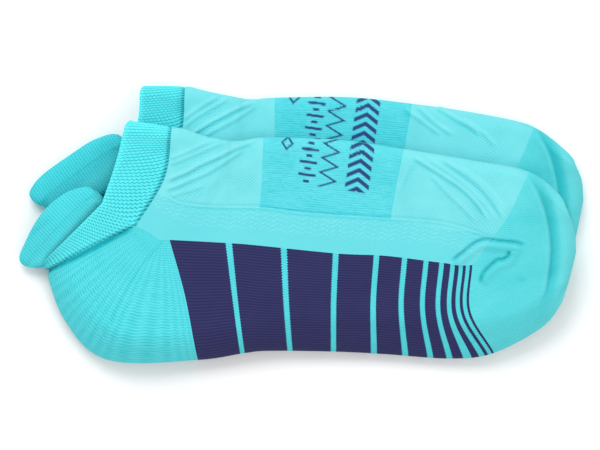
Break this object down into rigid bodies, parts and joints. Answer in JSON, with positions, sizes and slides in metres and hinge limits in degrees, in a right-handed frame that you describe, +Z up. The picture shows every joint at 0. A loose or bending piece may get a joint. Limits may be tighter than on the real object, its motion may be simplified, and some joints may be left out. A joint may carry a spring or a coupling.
{
  "type": "pair of low-cut running socks",
  "caption": "Pair of low-cut running socks with heel tabs and banded navy soles, lying on their sides, the top sock draped partly over the bottom one.",
  "frame": {"origin": "centre of the pair's bounding box in X and Y, on the surface it lies on", "axes": "+X from heel to toe, +Y from the sole to the instep, +Z up out of the surface the socks lie on"},
  "size_m": [0.249, 0.1224, 0.0263],
  "materials": {
    "cuff_rib": "matt rib knit",
    "open_mesh": "matt open mesh knit",
    "arch_rib": "matt elastic rib knit",
    "wavy_vent": "matt wavy tuck knit",
    "heel_terry": "matt terry knit",
    "toe_terry": "matt terry knit",
    "linked_seam": "matt linked seam",
    "tab_plush": "matt plush knit",
    "navy_terry": "matt navy terry knit"
  },
  "bodies": {
    "bottom_sock": {"bottom_ankle_mesh": "open_mesh", "bottom_arch_band": "arch_rib", "bottom_cuff": "cuff_rib", "bottom_forefoot_mesh": "open_mesh", "bottom_heel_back": "heel_terry", "bottom_heel_base": "heel_terry", "bottom_heel_tab_root": "tab_plush", "bottom_side_vent_lower": "wavy_vent", "bottom_side_vent_upper": "wavy_vent", "bottom_sole_ground": "heel_terry", "bottom_sole_navy_01": "navy_terry", "bottom_sole_navy_02": "navy_terry", "bottom_sole_navy_03": "navy_terry", "bottom_sole_navy_04": "navy_terry", "bottom_sole_navy_05": "navy_terry", "bottom_sole_navy_06": "navy_terry", "bottom_sole_navy_07": "navy_terry", "bottom_sole_navy_08": "navy_terry", "bottom_sole_navy_09": "navy_terry", "bottom_sole_navy_10": "navy_terry", "bottom_sole_navy_11": "navy_terry", "bottom_toe_base": "toe_terry", "bottom_toe_seam": "linked_seam", "bottom_toe_top": "toe_terry"},
    "bottom_tab": {"bottom_heel_tab": "tab_plush"},
    "top_sock": {"top_ankle_mesh": "open_mesh", "top_arch_band": "arch_rib", "top_cuff": "cuff_rib", "top_forefoot_mesh": "open_mesh", "top_heel_back": "heel_terry", "top_heel_base": "heel_terry", "top_heel_tab_root": "tab_plush", "top_side_vent_lower": "wavy_vent", "top_side_vent_upper": "wavy_vent", "top_sole_ground": "heel_terry", "top_sole_navy_01": "navy_terry", "top_sole_navy_02": "navy_terry", "top_sole_navy_03": "navy_terry", "top_sole_navy_04": "navy_terry", "top_sole_navy_05": "navy_terry", "top_sole_navy_06": "navy_terry", "top_sole_navy_07": "navy_terry", "top_sole_navy_08": "navy_terry", "top_sole_navy_09": "navy_terry", "top_sole_navy_10": "navy_terry", "top_sole_navy_11": "navy_terry", "top_toe_base": "toe_terry", "top_toe_seam": "linked_seam", "top_toe_top": "toe_terry"},
    "top_tab": {"top_heel_tab": "tab_plush"}
  },
  "joints": [
    {"name": "top_sock_lift", "type": "slide", "parent": "bottom_sock", "child": "top_sock", "axis": [0, 0, 1], "range_m": [0, 0.12]},
    {"name": "top_tab_fold", "type": "hinge", "parent": "top_sock", "child": "top_tab", "pos_m": [-0.08992, 0.00968, 0.0208], "axis": [0.7139, 0.6965, 0.0724], "range_deg": [0, 90]},
    {"name": "bottom_tab_fold", "type": "hinge", "parent": "bottom_sock", "child": "bottom_tab", "pos_m": [-0.08076, 0.03367, 0.0087], "axis": [0.8239, 0.5667, 0], "range_deg": [0, 80]}
  ]
}
